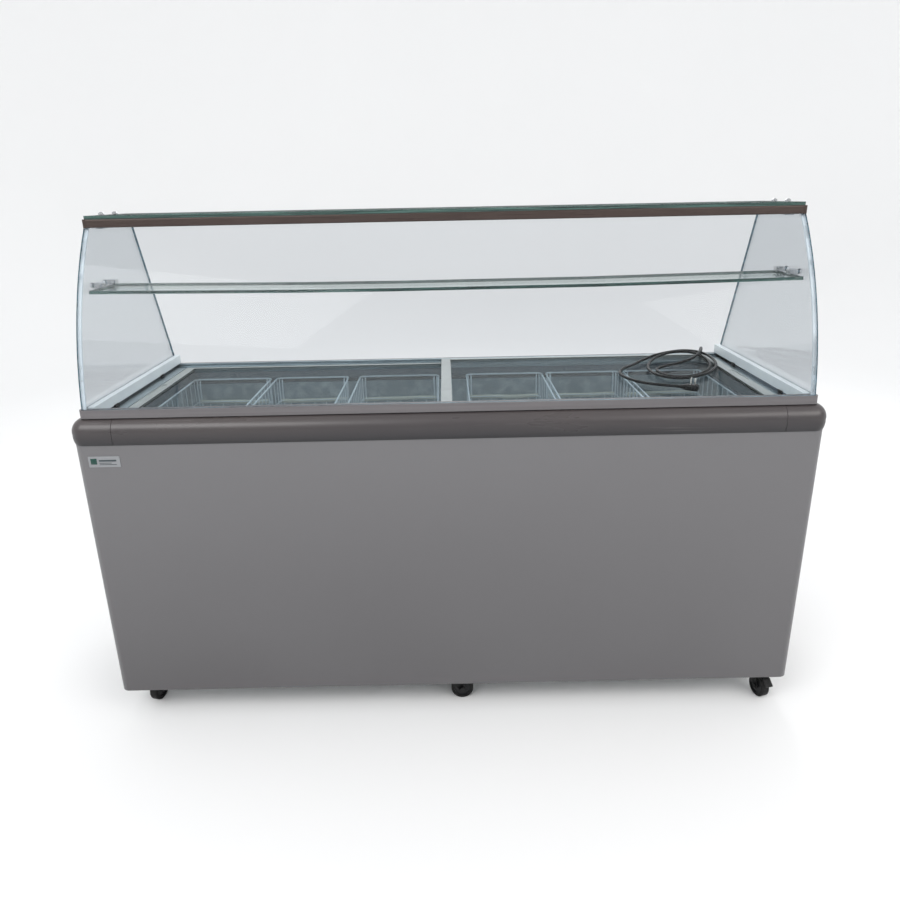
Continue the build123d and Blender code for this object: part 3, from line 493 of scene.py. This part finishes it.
def skin(bm, rings, caps=True):
    """Quads between closed rings of points; each ring has as many points as the others."""
    rows = [[bm.verts.new(point) for point in ring] for ring in rings]
    count = len(rows[0])
    for low, high in zip(rows, rows[1:]):
        for k in range(count):
            after = (k + 1) % count
            bm.faces.new((low[k], low[after], high[after], high[k]))
    if caps:
        bm.faces.new(rows[0])
        bm.faces.new(rows[-1][::-1])


def lathe(bm, profile, place, segments=32, caps=True):
    """Turn a profile of (radius, height) pairs round an axis; place puts it in the frame."""
    rings = []
    for radius, height in profile:
        angles = [math.tau * k / segments for k in range(segments)]
        rings.append([place @ Vector((radius * math.cos(a), radius * math.sin(a), height)) for a in angles])
    skin(bm, rings, caps=caps)


def rounded_loop(half_x, half_y, corner):
    """Points round a rectangle with round corners, centred on the origin, anticlockwise."""
    steps = 5
    loop = []
    for sx, sy, start in ((1, 1, 0), (-1, 1, 90), (-1, -1, 180), (1, -1, 270)):
        for k in range(steps + 1):
            angle = math.radians(start + 90 * k / steps)
            loop.append((sx * (half_x - corner) + corner * math.cos(angle),
                         sy * (half_y - corner) + corner * math.sin(angle)))
    return loop


def slab(bm, place, half_x, half_y, z0, z1, corner, edge):
    """A plate with round corners and softened upper and lower edges."""
    levels = [(z0, edge), (z0 + edge, 0), (z1 - edge, 0), (z1, edge)]
    rings = []
    for z, inset in levels:
        loop = rounded_loop(half_x - inset, half_y - inset, max(corner - inset, edge / 4))
        rings.append([place @ Vector((x, y, z)) for x, y in loop])
    skin(bm, rings)


def ride(made, body):
    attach(made, body)
    return made


# ---------------------------------------------------------------- camera, studio and light


def make_camera():
    """Camera aimed by pitch, yaw and roll."""
    cos_pitch = math.cos(CAMERA_PITCH)
    ahead = Vector((math.sin(CAMERA_YAW) * cos_pitch, math.cos(CAMERA_YAW) * cos_pitch,
                    -math.sin(CAMERA_PITCH)))
    level = Vector((math.cos(CAMERA_YAW), -math.sin(CAMERA_YAW), 0))
    upright = level.cross(ahead)
    right = level * math.cos(CAMERA_ROLL) + upright * math.sin(CAMERA_ROLL)
    up = upright * math.cos(CAMERA_ROLL) - level * math.sin(CAMERA_ROLL)
    data = bpy.data.cameras.new("camera")
    data.sensor_width = 36.0
    data.lens = CAMERA_LENS
    camera = bpy.data.objects.new("camera", data)
    camera.matrix_world = Matrix.Translation(CAMERA_PLACE) @ Matrix((right, up, -ahead)).transposed().to_4x4()
    bpy.context.scene.collection.objects.link(camera)
    bpy.context.scene.camera = camera


def make_studio():
    """Pale floor that curves up into a round wall."""
    bend = STUDIO_WALL_R - STUDIO_FLOOR_R
    profile = [(0.02, 0), (STUDIO_FLOOR_R / 2, 0)]
    for k in range(STUDIO_BEND_STEPS + 1):
        angle = math.radians(90 * k / STUDIO_BEND_STEPS)
        profile.append((STUDIO_FLOOR_R + bend * math.sin(angle), bend * (1 - math.cos(angle))))
    profile.append((STUDIO_WALL_R, STUDIO_WALL_TOP))
    bm = bmesh.new()
    lathe(bm, profile, Matrix.Identity(4), STUDIO_SIDES, caps=False)
    piece("studio_floor", bm, "studio")


def make_light(name, place, target, size, power, colour=(1, 1, 1)):
    data = bpy.data.lights.new(name, "AREA")
    data.shape = "RECTANGLE"
    data.size, data.size_y = size
    data.energy = power
    data.color = colour
    light = bpy.data.objects.new(name, data)
    light.location = place
    light.rotation_mode = "QUATERNION"
    light.rotation_quaternion = (Vector(target) - Vector(place)).to_track_quat("-Z", "Y")
    bpy.context.scene.collection.objects.link(light)


def make_lights():
    scene = bpy.context.scene
    scene.view_settings.view_transform = "Standard"
    world = bpy.data.worlds.new("world")
    world.use_nodes = True
    background = world.node_tree.nodes["Background"]
    background.inputs["Color"].default_value = (0.97, 0.985, 1.0, 1)
    background.inputs["Strength"].default_value = 0.85
    scene.world = world
    make_light("key", (-2.2, -3.2, 3.6), (0, 0, 0.7), (3.0, 2.0), 90)
    make_light("fill", (2.6, -2.6, 2.8), (0, 0, 0.8), (2.5, 1.5), 45, (1.0, 0.97, 0.94))
    make_light("rear", (0.5, 3.4, 3.4), (0, 0, 0.9), (3.0, 1.5), 60)


# ---------------------------------------------------------------- mains cord


def coil_points():
    """Loose turns that widen from the first to the last, lifted where one lies over another."""
    count = round((COIL_END - COIL_START) / COIL_STEP)
    long_axis = Vector((math.cos(COIL_AXIS), math.sin(COIL_AXIS)))
    short_axis = Vector((-long_axis.y, long_axis.x))
    points = []
    for k in range(count + 1):
        share = k / count
        angle = COIL_START + share * (COIL_END - COIL_START)
        sway = COIL_SWAY * math.sin(1.7 * angle + 0.6)
        a, b = (f + share * (g - f) + sway for f, g in zip(COIL_FIRST, COIL_LAST))
        spot = COIL_CENTRE + long_axis * a * math.cos(angle) + short_axis * b * math.sin(angle)
        lift = COIL_LIFT * max(0.0, min(1.0, (spot.y - COIL_LIFT_FROM) / COIL_LIFT_RUN))
        points.append((spot.x, spot.y, COIL_Z + lift))
    return points


def make_cord():
    """The whole mains cord as one smooth line: up the back, over the rear edge, coiled, to the plug."""
    curve = bpy.data.curves.new("mains_cord", "CURVE")
    curve.dimensions = "3D"
    curve.bevel_depth = CORD_R
    curve.bevel_resolution = 5
    curve.use_fill_caps = True
    points = REAR_ROUTE + CROSSING + coil_points() + LEAD_ROUTE
    spline = curve.splines.new("NURBS")
    spline.points.add(len(points) - 1)
    for slot, point in zip(spline.points, points):
        slot.co = (*point, 1)
    spline.order_u = 3
    spline.use_endpoint_u = True
    spline.resolution_u = 8
    curve.materials.append(MATERIALS["cord_sheath"])
    cord = bpy.data.objects.new("mains_cord", curve)
    bpy.context.scene.collection.objects.link(cord)
    ride(cord, CABINET)
    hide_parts("cord_tube", "cord_coil")
    return cord


def make_strain_relief():
    """Ribbed sleeve that tapers along the cord above the gland."""
    inner = CORD_R + RELIEF_FIT
    profile = [(inner, 0.0)]
    for k in range(RELIEF_RIBS):
        outer = RELIEF_R - RELIEF_TAPER * k
        base = k * RELIEF_RIB_H
        profile += [(outer - 0.0009, base), (outer, base + 0.0008), (outer, base + 0.0030),
                    (outer - 0.0012, base + 0.0038)]
    profile.append((inner, RELIEF_RIBS * RELIEF_RIB_H + 0.001))
    bm = bmesh.new()
    lathe(bm, profile, Matrix.Translation(GLAND + Vector((0, 0, RELIEF_BASE))), 28)
    return ride(piece("strain_relief", bm, "black_rubber"), CABINET)


def make_plug():
    """Angled plug on its back: ribbed grip, two flat blades and an earth pin upwards."""
    end = Vector(LEAD_ROUTE[-1])
    heading = end - Vector(LEAD_ROUTE[-2])
    place = Matrix.Translation(end) @ Matrix.Rotation(math.atan2(heading.y, heading.x), 4, "Z")
    bm = bmesh.new()
    rings = []
    for x, half_w, half_h in PLUG_SECTIONS:
        ring = []
        for k in range(PLUG_SIDES):
            angle = math.tau * k / PLUG_SIDES
            c, s = math.cos(angle), math.sin(angle)
            y = half_w * math.copysign(abs(c) ** PLUG_ROUNDNESS, c)
            z = half_h * math.copysign(abs(s) ** PLUG_ROUNDNESS, s)
            ring.append(place @ Vector((x, y, z + PLUG_RISE)))
        rings.append(ring)
    skin(bm, rings)
    body = ride(piece("plug_body", bm, "black_plastic"), CABINET)
    soft = body.modifiers.new("soft", "SUBSURF")
    soft.levels = 1
    soft.render_levels = 1
    bm = bmesh.new()
    upright = Matrix.Rotation(math.radians(90), 4, "Y")
    for y in (-BLADE_Y, BLADE_Y):
        middle = Matrix.Translation((BLADE_X, y, PLUG_FACE + BLADE_HALF_LENGTH))
        slab(bm, place @ middle @ upright, BLADE_HALF_LENGTH, BLADE_HALF_WIDTH,
             -BLADE_HALF_THICKNESS, BLADE_HALF_THICKNESS, 0.0014, 0.0003)
    lathe(bm, PIN_PROFILE, place @ Matrix.Translation((PIN_X, 0, PLUG_FACE)), 20)
    blades = ride(piece("plug_blades", bm, "brass"), CABINET)
    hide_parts("plug")
    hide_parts("plug")
    return [body, blades]


# ---------------------------------------------------------------- wire baskets


def u_wire(axis, at, low, high, floor, top):
    """A wire down one wall, across the floor and up the other, along X or Y."""
    profile = [(low, top)]
    for k in range(BEND_STEPS + 1):
        angle = math.radians(90 * k / BEND_STEPS)
        profile.append((low + WIRE_BEND * (1 - math.cos(angle)), floor + WIRE_BEND * (1 - math.sin(angle))))
    mirrored = [(low + high - u, z) for u, z in reversed(profile)]
    line = profile + mirrored
    return [(u, at, z) if axis == "X" else (at, u, z) for u, z in line]


def basket_lines(low, high):
    """(rim wires, mesh wires) of a basket between two corners of its box."""
    middle = (low + high) / 2
    half_x = (high.x - low.x) / 2 - RIM_R
    half_y = (high.y - low.y) / 2 - RIM_R
    rim_z = high.z - RIM_R
    wall_y = half_y - WALL_INSET
    floor = low.z + MESH_R
    band_top = rim_z - OPEN_BAND
    rim = [(middle.x + x, middle.y + y, rim_z) for x, y in rounded_loop(half_x, half_y, RIM_CORNER)]
    posts = []
    for sx in (-1, 1):
        for sy in (-1, 1):
            for inset in POST_INSETS:
                x = middle.x + sx * (half_x - inset)
                posts.append(([(x, sy * half_y, rim_z), (x, sy * (wall_y + 0.002), rim_z - 0.014),
                               (x, sy * wall_y, rim_z - 0.024), (x, sy * wall_y, band_top - 0.03)], False))
    mesh = []
    count_x = max(3, round(2 * half_x / MESH_PITCH))
    for k in range(1, count_x):
        x = middle.x - half_x + 2 * half_x * k / count_x
        mesh.append((u_wire("Y", x, -wall_y, wall_y, floor, band_top), False))
    count_y = round(2 * wall_y / MESH_PITCH)
    side_x = half_x - MESH_R
    for k in range(count_y + 1):
        y = -wall_y + 0.012 + (2 * wall_y - 0.024) * k / count_y
        mesh.append((u_wire("X", y, middle.x - side_x, middle.x + side_x, floor, rim_z), False))
    for level in range(HOOPS):
        z = floor + LOWEST_HOOP + (band_top - floor - LOWEST_HOOP) * level / (HOOPS - 1)
        loop = rounded_loop(side_x - 2 * MESH_R, wall_y - 2 * MESH_R, WIRE_BEND)
        mesh.append(([(middle.x + x, y, z) for x, y in loop], True))
    return [(rim, True)] + posts, mesh


def label_strip(name, low, high, side):
    """A thin, slightly wavy strip along the top of a basket's long wall."""
    bm = bmesh.new()
    x0, x1 = low.x + STRIP_END, high.x - STRIP_END
    y = side * (high.y - low.y - 2 * RIM_R) / 2 - side * WALL_INSET
    rings = []
    phase = 9 * x0
    for k in range(STRIP_STEPS + 1):
        x = x0 + (x1 - x0) * k / STRIP_STEPS
        wave = 0.0016 * math.sin(21 * x + phase) + 0.0009 * math.sin(53 * x)
        lean = side * 0.0012 * math.sin(17 * x + 1)
        bottom = high.z - STRIP_BOTTOM + wave
        top = high.z - STRIP_TOP + 0.6 * wave
        inner = y - side * STRIP_INSET + lean
        outer = inner + side * STRIP_THICKNESS
        rings.append([(x, inner, bottom), (x, outer, bottom), (x, outer, top), (x, inner, top)])
    skin(bm, rings)
    return piece(name, bm, "cream_strip")


def make_baskets():
    for number in range(1, BASKETS + 1):
        node = f"basket_{number}"
        body = f"wire_basket_{number}"
        low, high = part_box(node)
        rim, mesh = basket_lines(low, high)
        parts = [wires(f"{node}_rim", rim, RIM_R, "basket_wire"),
                 wires(f"{node}_mesh", mesh, MESH_R, "basket_wire", 2),
                 label_strip(f"{node}_strip_rear", low, high, 1),
                 label_strip(f"{node}_strip_front", low, high, -1)]
        for part in parts:
            ride(part, body)
            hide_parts(node)


# ---------------------------------------------------------------- small pieces


def make_badge():
    """A plain green tab and grey bars on the blank plate, with no letters."""
    low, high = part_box("name_plate")
    stand = Matrix.Rotation(math.radians(90), 4, "X")
    face = low.y
    middle_z = (low.z + high.z) / 2
    bm = bmesh.new()
    slab(bm, Matrix.Translation((low.x + BADGE_TAB_X, face, middle_z + 0.001)) @ stand,
         BADGE_TAB, BADGE_TAB, -0.0002, 0.0006, 0.0012, 0.0002)
    ride(piece("badge_tab", bm, "badge_green"), CABINET)
    bm = bmesh.new()
    for z, half_w, half_h in BADGE_BARS:
        x = low.x + BADGE_BARS_X + half_w
        slab(bm, Matrix.Translation((x, face, middle_z + z)) @ stand,
             half_w, half_h, -0.0002, 0.0005, 0.0006, 0.00015)
    ride(piece("badge_bars", bm, "badge_grey"), CABINET)


def screw_head(bm, place, radius, height):
    """Domed head with a cross recess, its top along the place's Z axis."""
    rings = []
    levels = [(1.0, 0.0), (1.0, 0.25), (0.93, 0.6), (0.74, 0.86), (0.5, 0.97)]
    for share, rise in levels:
        rings.append([place @ Vector((radius * share * math.cos(math.tau * k / SCREW_SIDES),
                                      radius * share * math.sin(math.tau * k / SCREW_SIDES),
                                      height * rise)) for k in range(SCREW_SIDES)])
    inner = []
    for k in range(SCREW_SIDES):
        angle = math.tau * k / SCREW_SIDES
        arm = 0.46 if k % 8 in (7, 0, 1) else 0.16
        inner.append(place @ Vector((radius * arm * math.cos(angle), radius * arm * math.sin(angle),
                                     height * 0.98)))
    deep = [point - place.to_3x3() @ Vector((0, 0, height * 0.55)) for point in inner]
    skin(bm, rings + [inner, deep])


def make_cover_screws():
    low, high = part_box("cover_screws")
    bm = bmesh.new()
    for x in (low.x + SCREW_R, high.x - SCREW_R):
        for z in (low.z + SCREW_R, high.z - SCREW_R):
            place = Matrix.Translation((x, low.y, z)) @ Matrix.Rotation(math.radians(-90), 4, "X")
            screw_head(bm, place, SCREW_R, high.y - low.y)
    heads = ride(piece("cover_screw_heads", bm, "galvanised"), CABINET)
    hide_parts("cover_screws")


def make_dial():
    """Raised tick marks round the thermostat knob, longer every third one."""
    low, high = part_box("thermostat_knob")
    centre = (low + high) / 2
    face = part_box("machine_cover")[0].y + COVER_THICKNESS
    bm = bmesh.new()
    for k in range(DIAL_TICKS):
        angle = math.radians(DIAL_START - DIAL_STEP * k)
        long_tick = k % 3 == 0
        radius = 0.0185 if long_tick else 0.0178
        place = Matrix.Translation((centre.x, face, centre.z)) @ Matrix.Rotation(math.radians(-90), 4, "X")
        place = place @ Matrix.Rotation(-angle, 4, "Z") @ Matrix.Translation((radius, 0, 0))
        slab(bm, place, 0.0022 if long_tick else 0.0014, 0.0004, -0.0001, 0.0004, 0.0002, 0.00008)
    ride(piece("dial_marks", bm, "seal"), CABINET)


# ---------------------------------------------------------------- finishes on the CAD nodes


def soften(node, width):
    """Rounded edges on a node: weld its shell, merge flat triangles, bevel and even the shading."""
    made = NODES[node]
    weld = made.modifiers.new("weld", "WELD")
    weld.merge_threshold = 0.00001
    merge = made.modifiers.new("merge", "DECIMATE")
    merge.decimate_type = "DISSOLVE"
    merge.angle_limit = math.radians(0.4)
    bevel = made.modifiers.new("bevel", "BEVEL")
    bevel.width = width
    bevel.segments = 2
    bevel.limit_method = "ANGLE"
    bevel.angle_limit = math.radians(38)
    shade = made.modifiers.new("shade", "WEIGHTED_NORMAL")
    shade.keep_sharp = True
    made.data.shade_smooth()


SOFT_EDGES = {
    "front_panel": 0.0004, "side_panels": 0.0004, "back_panel": 0.0004, "base_pan": 0.0003,
    "bumper_rails": 0.0006, "bumper_corners": 0.0006, "front_rail": 0.0012, "side_channels": 0.0015,
    "lid_tracks": 0.0006, "breaker_strips": 0.0012, "rubber_pads": 0.0012, "name_plate": 0.0004,
    "left_lid_frame": 0.0008, "right_lid_frame": 0.0008, "glass_clamps": 0.0008,
    "top_glass": 0.0006, "glass_shelf": 0.0006, "side_glasses": 0.0005, "front_glass": 0.0005,
    "machine_cover": 0.0002, "caster_plates": 0.0005, "head_rail": 0.0005, "compressor_mounts": 0.0008,
    "thermostat": 0.0008, "fan_motor": 0.0006, "cord_gland": 0.0008,
}


def finish_of(node):
    """The material for a CAD node: the one that its material slot names."""
    names = {"left_lid_glass": "lid_glass", "right_lid_glass": "lid_glass", "glass_shelf": "shelf_glass"}
    return names.get(node, NODES[node].data.materials[0].name.split(".")[0])


def second_finish(node, material, chosen):
    """Give the faces that chosen(centre, normal) picks a second material."""
    mesh = NODES[node].data
    mesh.materials.append(MATERIALS[material])
    for face in mesh.polygons:
        if chosen(face.center, face.normal):
            face.material_index = 1


def arc_edge(centre, normal):
    """Whether a face of the front glass is an edge and not one of its two curved faces."""
    outward = Vector((0, centre.y - GLASS_ARC_CENTRE[0], centre.z - GLASS_ARC_CENTRE[1])).normalized()
    return abs(outward.dot(normal)) < 0.6


def tread_face(axle):
    """A test for the faces of a wheel that are its tread."""
    def chosen(centre, normal):
        return (centre - axle).length > TREAD_R
    return chosen


def dress_nodes():
    for node in NODES:
        NODES[node].data.materials[0] = MATERIALS[finish_of(node)]
    second_finish("top_glass", "green_edge", lambda centre, normal: abs(normal.z) < 0.5)
    second_finish("glass_shelf", "green_edge", lambda centre, normal: abs(normal.z) < 0.5)
    second_finish("side_glasses", "pale_edge", lambda centre, normal: abs(normal.x) < 0.5)
    second_finish("front_glass", "pale_edge", arc_edge)
    gap_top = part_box("front_rail")[0].z + RAIL_GAP
    second_finish("front_rail", "gap_shadow", lambda centre, normal: centre.z < gap_top)
    for number in range(1, CASTERS + 1):
        low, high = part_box(f"caster_{number}_wheel")
        NODES[f"caster_{number}_wheel"].data.materials[0] = MATERIALS["wheel_hub"]
        second_finish(f"caster_{number}_wheel", "wheel_rubber", tread_face((low + high) / 2))
        SOFT_EDGES[f"caster_{number}_fork"] = 0.0006
    for node, width in SOFT_EDGES.items():
        soften(node, width)


# ---------------------------------------------------------------- assembly

make_camera()
cord = make_cord()
relief = make_strain_relief()
plug_pieces = make_plug()
make_studio()
make_lights()
make_baskets()
make_badge()
make_cover_screws()
make_dial()
dress_nodes()
